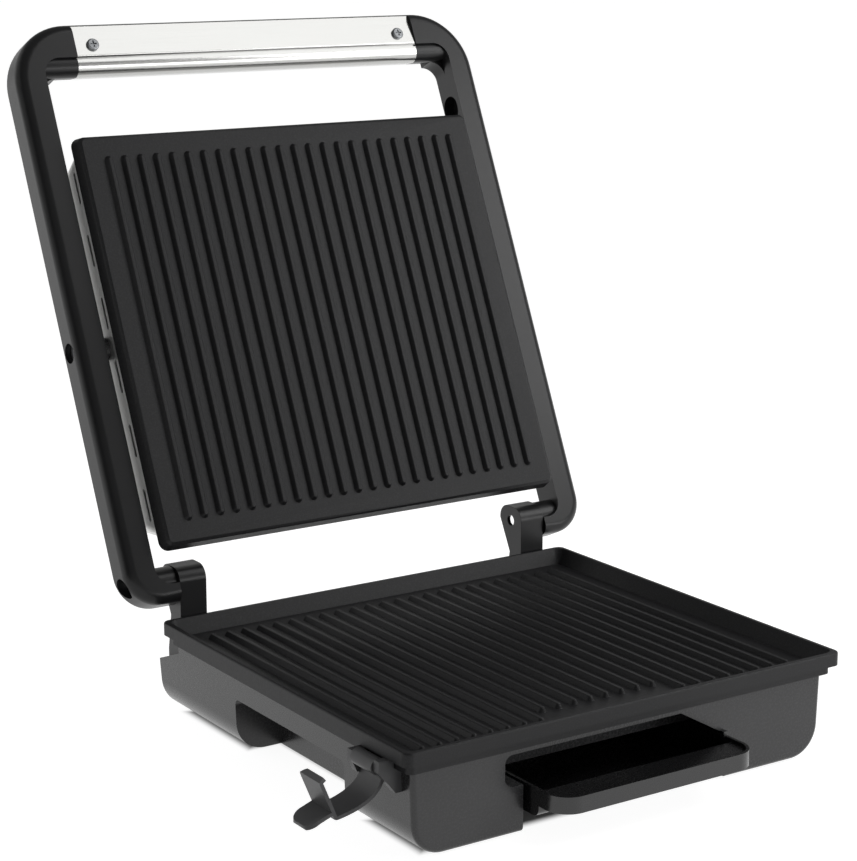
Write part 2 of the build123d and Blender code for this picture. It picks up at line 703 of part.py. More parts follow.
def thermostat(z, up):
    """Disc thermostat pressed on a plate, with two blade terminals."""
    far = z + up * THERMOSTAT_H
    body = rod_z(THERMOSTAT_R, 0, 0, sorted((z, far)))
    for side in (-1, 1):
        x = side * BLADE_X
        blade_z = sorted((far, far + up * BLADE_L))
        body += block((x - BLADE_T / 2, x + BLADE_T / 2), (-BLADE_W / 2, BLADE_W / 2), blade_z)
    return body


def thermal_fuse():
    """Small sealed fuse lying against the underside of the lower plate."""
    z = BODY_TOP - FUSE_R
    fuse = rod_y(FUSE_R, FUSE_X, (FUSE_Y - FUSE_L / 2, FUSE_Y + FUSE_L / 2), z)
    lead_y = (FUSE_Y - FUSE_L, FUSE_Y + FUSE_L)
    fuse += rod_y(FUSE_R / 4, FUSE_X, lead_y, z)
    strap_y = (FUSE_Y - FUSE_R, FUSE_Y + FUSE_R)
    saddle = block((FUSE_X - FUSE_R * 3, FUSE_X + FUSE_R * 3), strap_y, (BODY_TOP - BLADE_T, BODY_TOP))
    return fuse + saddle


def plate_screws():
    """Four screws from below that clamp the lower plate to the housing."""
    seat = POST_FOOT - PLATE_SCREW_SEAT
    bite = PLATE_SCREW_SEAT + PLATE_SCREW_BITE
    return join([screw_up(x, y, seat, bite) for x, y in corners(POST_X, POST_Y)])


# Hinge brackets and pins, right side first, the left is its mirror image
def bracket_screw_places():
    """Two screws in the foot of each bracket."""
    x = BRACKET_IN + BRACKET_W / 2
    mid = HINGE_Y - BRACKET_R + BRACKET_FOOT_D / 2 + WALL / 2
    half = BRACKET_SCREW_PITCH / 2
    return [(side * x, mid + offset) for side in (-1, 1) for offset in (-half, half)]


def hinge_bracket():
    """Hollow upright with a round cap, open at the back, with a bearing boss in the outer cheek."""
    front = HINGE_Y - BRACKET_R
    back = HINGE_Y + BRACKET_R
    foot_back = front + BRACKET_FOOT_D
    waist = (front + BRACKET_WAIST_D, RIM_TOP - BRACKET_WAIST_DROP)
    side_view = [(front, DECK_Z), (foot_back, DECK_Z), (foot_back, DECK_Z + BRACKET_FOOT_H), waist]
    side_view.extend([(back, HINGE_Z), (back, BRACKET_TOP), (front, BRACKET_TOP)])
    cap_r = BRACKET_CAP_R
    bracket = along_x(rounded(side_view, [0, 0, 0, 0, 0, cap_r, cap_r]), (BRACKET_IN, BRACKET_OUT))
    low = DECK_Z + WALL
    high = BRACKET_TOP - WALL
    inside = [(front + WALL, low), (back + 1, low), (back + 1, high), (front + WALL, high)]
    hollow = rounded(inside, [0, 0, 0, cap_r - WALL])
    bracket -= along_x(hollow, (BRACKET_IN + WALL, BRACKET_OUT - WALL))
    boss = (BRACKET_OUT - WALL - BRACKET_BOSS_L, BRACKET_OUT)
    bracket += rod_x(BRACKET_BOSS_R, boss, HINGE_Y, HINGE_Z)
    bracket -= rod_x(HINGE_PIN_R, (boss[0] - 1, boss[1] + 1), HINGE_Y, HINGE_Z)
    bracket -= rod_x(BRACKET_PEEP_R, (BRACKET_IN - 1, BRACKET_IN + WALL + 1), HINGE_Y, HINGE_Z)
    for x, y in bracket_screw_places():
        if x > 0:
            bracket -= rod_z(SCREW_R + SCREW_CLEAR, x, y, (DECK_Z - 1, DECK_Z + WALL + 1))
    return bracket


def bracket_screws():
    """Four screws down through the bracket feet into the deck."""
    screws = []
    for x, y in bracket_screw_places():
        seat = DECK_Z + WALL
        screw = rod_z(BRACKET_HEAD_R, x, y, (seat, seat + HEAD_H))
        screw += rod_z(SCREW_R, x, y, (DECK_Z - BRACKET_SCREW_L, seat))
        screws.append(screw)
    return join(screws)


def hinge_pin():
    """Shoulder screw: head in the recess of the arm, shank through the stub into the bracket."""
    end = HINGE_SEAT_X + MOVE_GAP
    pin = rod_x(HINGE_PIN_R, (BRACKET_OUT - WALL - BRACKET_BOSS_L, end), HINGE_Y, HINGE_Z)
    pin += rod_x(HINGE_HEAD_R, (end, end + HINGE_HEAD_H), HINGE_Y, HINGE_Z)
    socket = Pos(HINGE_Y, HINGE_Z) * RegularPolygon(HEX_R, 6)
    return pin - along_x(socket, (end + HINGE_HEAD_H - HEX_DEPTH, end + HINGE_HEAD_H))


# Lid frame: arms and handle, drawn shut
def arm():
    """Right arm: straight bar, round corner into the handle end, foot and sleeve turned in to the hinge."""
    grip_half = GRIP_LENGTH / 2
    points = [
        (grip_half, ARM_END_Y), (ARM_OUT, ARM_END_Y), (ARM_OUT, STUB_BACK), (STUB_IN, STUB_BACK),
        (STUB_IN, STUB_FRONT), (ARM_IN, STUB_FRONT), (ARM_IN, LIP_BACK_Y), (grip_half, LIP_BACK_Y)]
    radii = [0, ARM_CORNER_R, STUB_CORNER_R, 0, 0, STUB_INNER_R, ARM_INNER_R, 0]
    bar = extrude(Pos(0, 0, ARM_FACE_Z) * rounded(points, radii), amount=ARM_BACK_Z - ARM_FACE_Z)
    bar = round_bar(bar, ARM_FACE_Z, ARM_FRONT_ROUND)
    bar = round_bar(bar, ARM_BACK_Z, ARM_BACK_ROUND)
    for cut in handle_pocket():
        bar -= cut
    bar += rod_x(SLEEVE_R, (STUB_IN, ARM_IN + 1), HINGE_Y, HINGE_Z)

    bar -= rod_x(HINGE_PIN_R + RUN_FIT, (STUB_IN - 1, ARM_OUT), HINGE_Y, HINGE_Z)
    bar -= rod_x(HINGE_RECESS_R, (HINGE_SEAT_X, ARM_OUT + 1), HINGE_Y, HINGE_Z)
    bar -= rod_x(JOURNAL_R + RUN_FIT, (ARM_IN - 1, ARM_OUT), PIVOT_Y, HINGE_Z)
    bar -= rod_x(PIVOT_RECESS_R, (PIVOT_RECESS_X, ARM_OUT + 1), PIVOT_Y, HINGE_Z)
    bar -= core_bar((grip_half - 1, grip_half + CORE_TENON))
    oval = Pos(HINGE_Y - OVAL_REACH, HINGE_Z) * SlotOverall(OVAL_L, OVAL_W)
    return bar - along_x(oval, (ARM_IN, ARM_IN + OVAL_DEPTH))


def handle_pocket():
    """Two cuts that carry the grip's section on into the arm; the front one ends in a round corner."""
    start = GRIP_LENGTH / 2 - 1
    corner_y = LIP_BACK_Y + ARM_INNER_R
    below = ARM_FACE_Z - 1
    above = ARM_BACK_Z + 1
    front = [(FACE_BACK_Y, below), (corner_y, below), (corner_y, LIP_Z), (FACE_BACK_Y, LIP_Z)]
    front = along_x(make_face(Polyline(*front, close=True)) - grip_section(), (start, ARM_IN))
    corner = block((ARM_IN - POCKET_R, ARM_IN + 1), (FACE_BACK_Y - 1, FACE_BACK_Y + POCKET_R), (0, above))
    front -= corner - rod_z(POCKET_R, ARM_IN - POCKET_R, FACE_BACK_Y + POCKET_R, (0, above))
    back = [(FACE_BACK_Y, LIP_Z), (LIP_BACK_Y, LIP_Z), (LIP_BACK_Y, above), (FACE_BACK_Y, above)]
    back = make_face(Polyline(*back, close=True)) - grip_section()
    return [front, along_x(back, (start, ARM_IN - ARM_INNER_R))]


def round_bar(bar, level, radius):
    """Round the outer edges of the arm at one level: the run from the handle end to the stub."""
    face_edges = bar.edges().filter_by_position(Axis.Z, level - 0.01, level + 0.01)
    outer = [edge for edge in face_edges if on_outer_run(edge)]
    return fillet(outer, radius)


def on_outer_run(edge):
    """True for an edge of the arm on its outer side, its front end or its hinge end."""
    middle = edge.center()
    return middle.X > ARM_IN + 1 or middle.Y < ARM_END_Y + 1 or middle.Y > STUB_BACK - 1


def core_bar(x):
    """Square bar inside the handle between two limits along X."""
    return block(x, (CORE_Y - CORE_D / 2, CORE_Y + CORE_D / 2), (CORE_Z - CORE_H / 2, CORE_Z + CORE_H / 2))


def grip_section(inset=0.0):
    """Section of the grip: flat face, crease, round bead along the lower edge, rounded back."""
    crease = (FACE_BACK_Y, FACE_Z + CREASE_DEPTH)
    bead_end = (LIP_BACK_Y, LIP_Z)
    bead = ThreePointArc(crease, (FACE_BACK_Y + BEAD_MID, FACE_Z + BEAD_MID_RISE), bead_end)
    face_end = (ARM_END_Y + FACE_RUN, FACE_Z)
    front = (ARM_END_Y, FACE_END_Z)
    back = [(LIP_BACK_Y - GRIP_BACK_IN, GRIP_TOP_LEVEL), (ARM_END_Y + GRIP_BACK_IN, GRIP_TOP_LEVEL)]
    outline = make_face([bead, Polyline(bead_end, *back, front, face_end, crease)])
    radii = [(front, GRIP_ROUND / 2), (face_end, CREASE_ROUND), (back[0], GRIP_ROUND), (back[1], GRIP_ROUND)]
    for point, radius in radii:
        corner = outline.vertices().sort_by_distance((point[0], point[1], 0))[0]
        outline = fillet(corner, radius)
    return offset(outline, -inset) if inset else outline


def handle_screw_place(side):
    """Frame of a handle screw: on the flat face, square to it."""
    y = ARM_END_Y + HANDLE_SCREW_BACK
    z = FACE_END_Z - FACE_RISE * HANDLE_SCREW_BACK / FACE_RUN
    return Pos(side * HANDLE_SCREW_X, y, z) * Rot(-FACE_TILT, 0, 0)


def handle_grip():
    """Steel skin of the handle."""
    half = GRIP_LENGTH / 2
    skin = along_x(grip_section(), (-half, half)) - along_x(grip_section(GRIP_SKIN), (-half, half))
    for side in (-1, 1):
        skin -= handle_screw_place(side) * Cylinder(SCREW_R + SCREW_CLEAR, 3 * GRIP_SKIN)
    return skin


def handle_core():
    """Filling of the grip with a square tenon into each arm."""
    half = GRIP_LENGTH / 2
    core = along_x(grip_section(GRIP_SKIN), (-half, half))
    core += core_bar((-half - CORE_TENON, half + CORE_TENON))
    for side in (-1, 1):
        hole = Pos(0, 0, HANDLE_SCREW_L / 2) * Cylinder(SCREW_R, HANDLE_SCREW_L)
        core -= handle_screw_place(side) * hole
    return core


def handle_screws():
    """Two cross-head screws in the flat face of the grip."""
    screws = []
    for side in (-1, 1):
        head = Pos(0, 0, -HANDLE_HEAD_H / 2) * Cylinder(HANDLE_HEAD_R, HANDLE_HEAD_H)
        head = fillet(head.edges().sort_by(Axis.Z)[0], HANDLE_HEAD_H / 2)
        slot_z = Pos(0, 0, -HANDLE_HEAD_H + CROSS_DEPTH / 2)
        head -= slot_z * Box(CROSS_L, CROSS_W, CROSS_DEPTH)
        head -= slot_z * Box(CROSS_W, CROSS_L, CROSS_DEPTH)
        head += Pos(0, 0, HANDLE_SCREW_L / 2) * Cylinder(SCREW_R, HANDLE_SCREW_L)
        screws.append(handle_screw_place(side) * head)
    return join(screws)


# Upper unit: plate, cover and pivots, drawn shut
def upper_grill_plate():
    """Ribbed casting with a shallow skirt, posts for the cover and for the reflector."""
    brim_w = UPPER_W + 2 * UPPER_DRAFT
    brim_d = UPPER_D + 2 * UPPER_DRAFT
    brim = Pos(0, UPPER_Y, UPPER_SKIRT_TOP) * RectangleRounded(brim_w, brim_d, UPPER_CORNER_R + UPPER_DRAFT)
    draft = degrees(atan2(UPPER_DRAFT, UPPER_SKIRT_H))
    plate = extrude(brim, amount=UPPER_SKIRT_H, dir=(0, 0, -1), taper=draft)
    plate = chamfer(plate.faces().sort_by(Axis.Z)[0].edges(), UPPER_CHAMFER)
    inside_w = UPPER_W - 2 * UPPER_SKIRT_T
    inside_d = UPPER_D - 2 * UPPER_END_T
    plate -= slab(inside_w, inside_d, UPPER_INSIDE_R, (UPPER_BACK, UPPER_SKIRT_TOP + 1), UPPER_Y)
    half = RIB_LENGTH / 2
    plate += ribs(UPPER_FACE, -1, [(UPPER_Y - half, UPPER_Y + half)] * RIB_COUNT)
    plate -= heating_rod(upper_element_level())
    plate += reflector_posts((UPPER_BACK, UPPER_REFLECTOR_Z))
    for x, y in corners(REFLECTOR_POST_X, REFLECTOR_POST_Y):
        plate -= rod_z(SMALL_SCREW_R, x, y, (UPPER_REFLECTOR_Z - SMALL_SCREW_L, UPPER_REFLECTOR_Z + 1))
    post_top = COVER_TOP - COVER_T - COVER_DIMPLE_DEPTH
    for x, y in corners(COVER_POST_X, COVER_POST_Y):
        plate += rod_z(COVER_POST_R, x, y + UPPER_Y, (UPPER_BACK, post_top))
        plate -= rod_z(SCREW_R, x, y + UPPER_Y, (post_top - COVER_SCREW_BITE, post_top + 1))
    for side in (-1, 1):
        for y in (-STRAP_SCREW_Y, STRAP_SCREW_Y):
            hole_z = (UPPER_BACK - UPPER_T / 2, UPPER_BACK + 1)
            plate -= rod_z(SMALL_SCREW_R, side * strap_screw_x(), PIVOT_Y + y, hole_z)
    return plate


def upper_element_level():
    """Height of the upper heating rod, partly sunk into the back of the plate."""
    return UPPER_BACK - ELEMENT_SUNK + ELEMENT_R


def cover_body(inset=0.0):
    """Outer or inner form of the cover: sloped ends, large radius at the ends, soft side edges."""
    front = UPPER_Y - UPPER_D / 2 + COVER_INSET + inset
    back = UPPER_Y + UPPER_D / 2 - COVER_INSET - inset
    top = COVER_TOP - inset
    low = UPPER_SKIRT_TOP
    points = [(front, low), (back, low), (back - COVER_SLOPE, top), (front + COVER_SLOPE, top)]
    radius = COVER_END_R - inset
    half = COVER_W / 2 - inset
    body = along_x(rounded(points, [0, 0, radius, radius]), (-half, half))
    sides = body.faces().sort_by(Axis.X)
    edges = []
    for face in (sides[0], sides[-1]):
        low = face.edges().sort_by(Axis.Z)[0]
        edges.extend([edge for edge in face.edges() if edge.center() != low.center()])
    return fillet(edges, COVER_SIDE_R - inset)


def upper_cover():
    """Steel cover with a turned-in flange, side vents, pivot holes and four screw dimples."""
    inner = cover_body(COVER_T)
    inner -= block((-COVER_W, COVER_W), (-UPPER_D, UPPER_D), (UPPER_SKIRT_TOP - 1, UPPER_SKIRT_TOP + COVER_T))
    cover = cover_body() - inner
    hole_w = COVER_W - 2 * COVER_FLANGE
    hole_d = UPPER_D - 2 * COVER_INSET - 2 * COVER_FLANGE
    cover -= slab(hole_w, hole_d, COVER_HOLE_R, (UPPER_SKIRT_TOP - 1, UPPER_SKIRT_TOP + COVER_T), UPPER_Y)
    vent_z = UPPER_SKIRT_TOP + VENT_UP
    for side in (-1, 1):
        for index in range(VENT_COUNT):
            y = UPPER_Y + (index - (VENT_COUNT - 1) / 2) * VENT_PITCH
            slot = Pos(y, vent_z) * SlotOverall(VENT_L, VENT_W)
            cover -= along_x(slot, sorted((side * (COVER_IN - 1), side * COVER_W)))
        cover -= rod_x(BOSS_R, sorted((side * (COVER_IN - 1), side * COVER_W)), PIVOT_Y, HINGE_Z)
    dimple_low = COVER_TOP - COVER_DIMPLE_DEPTH
    for x, y in corners(COVER_POST_X, COVER_POST_Y):
        cover += rod_z(COVER_DIMPLE_R + COVER_T, x, y + UPPER_Y, (dimple_low - COVER_T, COVER_TOP))
        cover -= rod_z(COVER_DIMPLE_R, x, y + UPPER_Y, (dimple_low, COVER_TOP + 1))
        cover -= rod_z(SCREW_R + SCREW_CLEAR, x, y + UPPER_Y, (dimple_low - COVER_T - 1, COVER_TOP))
    return cover


def upper_cover_screws():
    """Four screws in the dimples of the cover, down into the posts of the plate."""
    seat = COVER_TOP - COVER_DIMPLE_DEPTH
    head_h = COVER_DIMPLE_DEPTH * 0.8
    screws = []
    for x, y in corners(COVER_POST_X, COVER_POST_Y):
        screw = rod_z(HEAD_R, x, y + UPPER_Y, (seat, seat + head_h))
        screw += rod_z(SCREW_R, x, y + UPPER_Y, (seat - COVER_SCREW_BITE, seat))
        drive = extrude(RegularPolygon(HEAD_R / 2, 6), amount=head_h / 2)
        screw -= Pos(x, y + UPPER_Y, seat + head_h / 2) * drive
        screws.append(screw)
    return join(screws)


def upper_reflector():
    """Sheet behind the upper heating element, with holes round the cover posts."""
    sheet = reflector((UPPER_REFLECTOR_Z, UPPER_REFLECTOR_Z + REFLECTOR_T))
    for x, y in corners(COVER_POST_X, COVER_POST_Y):
        hole_z = (UPPER_REFLECTOR_Z - 1, UPPER_REFLECTOR_Z + 2)
        sheet -= rod_z(COVER_POST_R + 1, x, y + UPPER_Y, hole_z)
    return sheet


def upper_reflector_screws():
    """Four screws that hold the upper reflector."""
    screws = []
    seat = UPPER_REFLECTOR_Z + REFLECTOR_T
    for x, y in corners(REFLECTOR_POST_X, REFLECTOR_POST_Y):
        screw = rod_z(SMALL_HEAD_R, x, y, (seat, seat + SMALL_HEAD_H))
        screws.append(screw + rod_z(SMALL_SCREW_R, x, y, (seat - REFLECTOR_T - SMALL_SCREW_L, seat)))
    return join(screws)


def pivot_boss():
    """Right boss: flange inside the cover, shoulder to the arm, journal in the arm's bore."""
    inner = STRAP_X + STRAP_T
    boss = rod_x(BOSS_FLANGE_R, (inner, COVER_IN), PIVOT_Y, HINGE_Z)
    boss += rod_x(BOSS_R, (inner, ARM_IN - MOVE_GAP), PIVOT_Y, HINGE_Z)
    boss += rod_x(JOURNAL_R, (inner, JOURNAL_END), PIVOT_Y, HINGE_Z)
    return boss - rod_x(SCREW_R, (JOURNAL_END - PIVOT_SCREW_L, JOURNAL_END + 1), PIVOT_Y, HINGE_Z)


def pivot_screw():
    """Right pivot screw, its wide head in the recess of the arm."""
    screw = rod_x(PIVOT_HEAD_R, (JOURNAL_END, JOURNAL_END + PIVOT_HEAD_H), PIVOT_Y, HINGE_Z)
    screw += rod_x(SCREW_R, (JOURNAL_END - PIVOT_SCREW_L, JOURNAL_END), PIVOT_Y, HINGE_Z)
    start = JOURNAL_END + PIVOT_HEAD_H - HEX_DEPTH / 2
    socket = Pos(PIVOT_Y, HINGE_Z) * RegularPolygon(HEX_R, 6)
    return screw - along_x(socket, (start, start + HEX_DEPTH))


def strap_screw_x():
    """Middle of the foot of a pivot strap."""
    return STRAP_X - STRAP_FOOT / 2


def pivot_strap():
    """Right angle strap that ties a boss to the back of the plate."""
    wide = (PIVOT_Y - STRAP_W / 2, PIVOT_Y + STRAP_W / 2)
    strap = block((STRAP_X, STRAP_X + STRAP_T), wide, (UPPER_BACK, HINGE_Z + STRAP_TOP))
    strap += block((STRAP_X - STRAP_FOOT, STRAP_X), wide, (UPPER_BACK, UPPER_BACK + STRAP_T))
    for y in (-STRAP_SCREW_Y, STRAP_SCREW_Y):
        hole_z = (UPPER_BACK - 1, UPPER_BACK + STRAP_T + 1)
        strap -= rod_z(SMALL_SCREW_R + SCREW_CLEAR, strap_screw_x(), PIVOT_Y + y, hole_z)
    return strap


def strap_screws():
    """Four screws that hold the straps to the upper plate."""
    screws = []
    seat = UPPER_BACK + STRAP_T
    for side in (-1, 1):
        for y in (-STRAP_SCREW_Y, STRAP_SCREW_Y):
            x = side * strap_screw_x()
            screw = rod_z(SMALL_HEAD_R, x, PIVOT_Y + y, (seat, seat + SMALL_HEAD_H))
            screws.append(screw + rod_z(SMALL_SCREW_R, x, PIVOT_Y + y, (UPPER_BACK - UPPER_T / 2, seat)))
    return join(screws)


# Drip tray
def tray_outline(inset=0.0):
    """Plan of the tray: straight sides and front, round corners, larger in front."""
    half = TRAY_W / 2 - inset
    back = TRAY_BACK - inset
    front = TRAY_LIP_FRONT + inset
    points = [(-half, front), (half, front), (half, back), (-half, back)]
    radius = TRAY_CORNER_R - inset
    return rounded(points, [radius, radius, radius / 2, radius / 2])


def drip_tray():
    """Tray with a deep basin, a shallow apron behind the lip, a hollow below the lip and a stop."""
    tray = extrude(Pos(0, 0, TRAY_BOTTOM) * tray_outline(), amount=TRAY_H)
    inside = tray_outline(TRAY_WALL)
    apron_floor = TRAY_TOP - TRAY_APRON_DEPTH
    wide = (-TRAY_W, TRAY_W)
    keel_front = TRAY_APRON_BACK - TRAY_WALL
    below = (TRAY_LIP_FRONT - 1, keel_front)
    tray -= block(wide, below, (0, TRAY_BOTTOM + TRAY_LIP_RAISE))
    keel = tray.edges().filter_by(Axis.X).filter_by_position(Axis.Y, keel_front - 0.01, keel_front + 0.01)
    tray = fillet(keel.sort_by(Axis.Z)[0], TRAY_KEEL_R)
    basin = extrude(Pos(0, 0, TRAY_BOTTOM + TRAY_WALL) * inside, amount=TRAY_H)
    basin = basin & block(wide, (TRAY_APRON_BACK, 0), (0, RIM_TOP))
    basin_edge = basin.edges().filter_by(Axis.X).group_by(Axis.Y)[0].sort_by(Axis.Z)[0]
    tray -= fillet(basin_edge, TRAY_KEEL_R - TRAY_WALL)
    tray -= extrude(Pos(0, 0, apron_floor) * inside, amount=TRAY_H)
    hollow = extrude(inside, amount=apron_floor - TRAY_WALL)
    tray -= hollow & block(wide, below, (0, RIM_TOP))
    stop_y = (BODY_FRONT - MOVE_GAP - TRAY_STOP_L, BODY_FRONT - MOVE_GAP)
    stop_x = (TRAY_W / 2 - TRAY_STOP_W, TRAY_W / 2)
    return tray + block(stop_x, stop_y, (TRAY_TOP - 1, TRAY_TOP + TRAY_STOP_H))


# Side latch
def latch_lever():
    """Hook: knuckle on the pin, bowed strap, upright finger with a lip and a thumb tab sloping down."""
    width = (LATCH_FRONT, LATCH_BACK)
    place = Pos(LATCH_X, LATCH_Z)
    hook = along_y(place * (trace(Spline(*LATCH_BOW), LATCH_T) + Circle(KNUCKLE_R)), width)
    strap_x = (LATCH_X + LATCH_BOW[-1][0] - LATCH_T, LATCH_X + 2 * KNUCKLE_R)
    hook = hook & latch_plan(strap_x, [STRAP_END_R, 0, 0, 0])
    tab = along_y(place * trace(Polyline(*LATCH_TAB), LATCH_T), width)
    hook += tab & latch_plan((LATCH_X + LATCH_TAB[-1][0], LATCH_X), [TAB_R, 0, 0, TAB_R])
    finger = along_y(place * trace(Polyline(*LATCH_FINGER), LATCH_T), width)
    top = LATCH_Z + LATCH_FINGER[-1][1] + LATCH_T / 2
    side_view = [(LATCH_FRONT, 0), (LATCH_BACK, 0), (LATCH_BACK, top), (LATCH_FRONT, top)]
    side_view = rounded(side_view, [0, 0, FINGER_R, LATCH_T])
    hook += finger & along_x(side_view, (LATCH_X + LATCH_TAB[-1][0], LATCH_X))
    ends = (LATCH_FRONT - 1, LATCH_BACK + 1)
    return hook - rod_y(LATCH_PIN_R + RUN_FIT, LATCH_X, ends, LATCH_Z)


def latch_plan(x, radii):
    """Upright prism over the width of the latch; its corners have their own radii, front left first."""
    points = [(x[0], LATCH_FRONT), (x[1], LATCH_FRONT), (x[1], LATCH_BACK), (x[0], LATCH_BACK)]
    return extrude(rounded(points, radii), amount=2 * LATCH_Z)


def latch_bracket():
    """Plate on the side of the housing with a full lug in front and a low lug behind."""
    foot = LATCH_Z + LUG_FOOT
    wall = -BODY_W / 2
    inside = wall + BODY_DRAFT
    back = LATCH_BACK + MOVE_GAP + LUG_BACK_T
    plate_x = wall - LATCH_PLATE_T
    under_step = BODY_TOP - SCREW_CLEAR
    bracket = block((plate_x, inside), (LUG_FRONT, back), (foot, under_step))
    reach = LATCH_X - 2 * LATCH_PIN_R
    top = LATCH_Z + 2 * LATCH_PIN_R
    low = LATCH_Z - 2 * LATCH_PIN_R
    lug = [(plate_x, foot), (plate_x, top), (reach, top), (reach, low), (LATCH_X, foot)]
    bracket += along_y(make_face(Polyline(*lug, close=True)), (LATCH_BACK + MOVE_GAP, back))
    lug = [(LATCH_X + x, LATCH_Z + z) for x, z in LUG_SIDE]
    lug.extend([(inside, lug[-1][1]), (inside, lug[0][1])])
    bracket += along_y(make_face(Polyline(*lug, close=True)), (LUG_FRONT, LATCH_FRONT - MOVE_GAP))
    bracket -= along_y(body_outline(), (BODY_FRONT - 1, DECK_BACK))
    step_x = -PLATE_W / 2 + STEP_INSET - MOVE_GAP
    bracket -= block((step_x, 0), (LUG_FRONT - 1, back + 1), (BODY_TOP, STEP_TOP))
    bracket -= rod_y(LATCH_PIN_R, LATCH_X, (LUG_FRONT + LUG_SKIN, back + 1), LATCH_Z)
    for y, z in latch_screw_places():
        bracket -= rod_x(SMALL_SCREW_R, (LATCH_SCREW_END, 0), y, z)
    return bracket


def latch_screw_places():
    """Two screws of the latch bracket, one into each lug."""
    front = (LUG_FRONT + LATCH_FRONT) / 2
    back = LATCH_BACK + MOVE_GAP + LUG_BACK_T / 2
    return [(y, LATCH_Z - LATCH_SCREW_DROP) for y in (front, back)]


def latch_screws():
    """Two small screws from inside the housing that hold the latch bracket."""
    screws = []
    for y, z in latch_screw_places():
        screw = rod_x(SMALL_HEAD_R, (LATCH_SEAT_X, LATCH_SEAT_X + SMALL_HEAD_H), y, z)
        screws.append(screw + rod_x(SMALL_SCREW_R, (LATCH_SCREW_END, LATCH_SEAT_X), y, z))
    return join(screws)


def latch_pin():
    """Pin of the latch, fixed in the two lugs."""
    back = LATCH_BACK + MOVE_GAP + LUG_BACK_T
    return rod_y(LATCH_PIN_R, LATCH_X, (LUG_FRONT + LUG_SKIN, back), LATCH_Z)


def save(name, shape):
    """Write one node."""
    export_step(shape, "parts/" + name + ".step")


def save_pair(name, right):
    """Write a right piece and its mirror image on the left."""
    save(name + "_right", right)
    save(name + "_left", mirror(right, about=Plane.YZ))


# Base
save("base_shell", base_shell())
save("bottom_cover", bottom_cover())
save("bottom_screws", bottom_screws())
save("rubber_feet", rubber_feet())
save("terminal_block", terminal_block())
save("cord_gland", cord_gland())
save("lower_grill_plate", lower_grill_plate())
save("lower_heating_element", heating_element(element_level()))
save("lower_reflector", lower_reflector())
save("lower_reflector_screws", lower_reflector_screws())
save("lower_thermostat", thermostat(BODY_TOP, -1))
save("thermal_fuse", thermal_fuse())
save("plate_screws", plate_screws())
save_pair("hinge_bracket", hinge_bracket())
save("bracket_screws", bracket_screws())
save_pair("hinge_pin", hinge_pin())
save("latch_bracket", latch_bracket())
save("latch_screws", latch_screws())
save("latch_pin", latch_pin())

# Lid frame
save_pair("arm", open_lid(arm()))
save("handle_grip", open_lid(handle_grip()))
save("handle_core", open_lid(handle_core()))
save("handle_screws", open_lid(handle_screws()))

# Upper unit
save("upper_grill_plate", open_lid(upper_grill_plate()))
save("upper_cover", open_lid(upper_cover()))
save("upper_cover_screws", open_lid(upper_cover_screws()))
save("upper_heating_element", open_lid(heating_element(upper_element_level())))
save("upper_reflector", open_lid(upper_reflector()))
save("upper_reflector_screws", open_lid(upper_reflector_screws()))
save("upper_thermostat", open_lid(thermostat(UPPER_BACK, 1)))
save_pair("pivot_boss", open_lid(pivot_boss()))
save_pair("pivot_screw", open_lid(pivot_screw()))
save_pair("pivot_strap", open_lid(pivot_strap()))
save("strap_screws", open_lid(strap_screws()))

# Tray and latch
save("drip_tray", drip_tray())
save("latch_lever", latch_lever())
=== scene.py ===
from math import radians

import bpy
import numpy as np
from mathutils import Matrix

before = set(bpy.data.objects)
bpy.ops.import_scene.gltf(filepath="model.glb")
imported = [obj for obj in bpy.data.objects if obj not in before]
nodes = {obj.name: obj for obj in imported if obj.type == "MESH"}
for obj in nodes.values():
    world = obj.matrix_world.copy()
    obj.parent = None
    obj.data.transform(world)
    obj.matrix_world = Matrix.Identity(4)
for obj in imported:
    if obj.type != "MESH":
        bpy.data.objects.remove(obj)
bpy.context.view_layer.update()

scene = bpy.context.scene
scene.view_settings.view_transform = "Standard"


# Camera. The picture is taken from the front left, a little above the plates,
# with a long lens held level. The image is 857 by 861 pixels and the long side
# takes the whole width of the sensor.
sensor_mm = 36
image_height = 861
focal_pixels = 2312
camera_right = (0.831868, -0.554974, 0.000236)
camera_up = (0.123707, 0.185843, 0.974761)
camera_ahead = (0.541010, 0.810843, -0.223251)
camera_place = (-0.75431, -1.06068, 0.48610)
camera_data = bpy.data.cameras.new("camera")
camera_data.sensor_width = sensor_mm
camera_data.lens = focal_pixels * sensor_mm / image_height
camera = bpy.data.objects.new("camera", camera_data)
camera_rows = [[camera_right[i], camera_up[i], -camera_ahead[i], camera_place[i]] for i in range(3)]
camera.matrix_world = Matrix(camera_rows + [[0, 0, 0, 1]])
scene.collection.objects.link(camera)
scene.camera = camera


# Studio. White paper on a wide table, whose glow is masked out under the base as a painted
# shadow, in a room that is white at the horizon, dark on the left and grey overhead. Three soft
# boxes stand to the right in front, one large one behind on the left.
def linear(code):
    """sRGB hex colour as linear RGBA: the low end is divided by 12.92, the rest follows the 2.4 power."""
    rgb = np.array([int(code[i:i + 2], 16) for i in (1, 3, 5)]) / 255
    rgb = np.where(rgb <= 0.04045, rgb / 12.92, ((rgb + 0.055) / 1.055) ** 2.4)
    return (*rgb.tolist(), 1.0)


def add(tree, kind, inputs=None, **settings):
    """Add a node: settings are its own properties, inputs are values or the sockets that feed it."""
    node = tree.nodes.new(kind)
    for key, value in settings.items():
        setattr(node, key, value)
    for key, value in (inputs or {}).items():
        if isinstance(value, bpy.types.NodeSocket):
            tree.links.new(value, node.inputs[key])
        else:
            node.inputs[key].default_value = value
    return node


def blank(name):
    """New node material with an empty tree; gives the material and its tree."""
    material = bpy.data.materials.new(name)
    material.use_nodes = True
    material.node_tree.nodes.clear()
    return material, material.node_tree


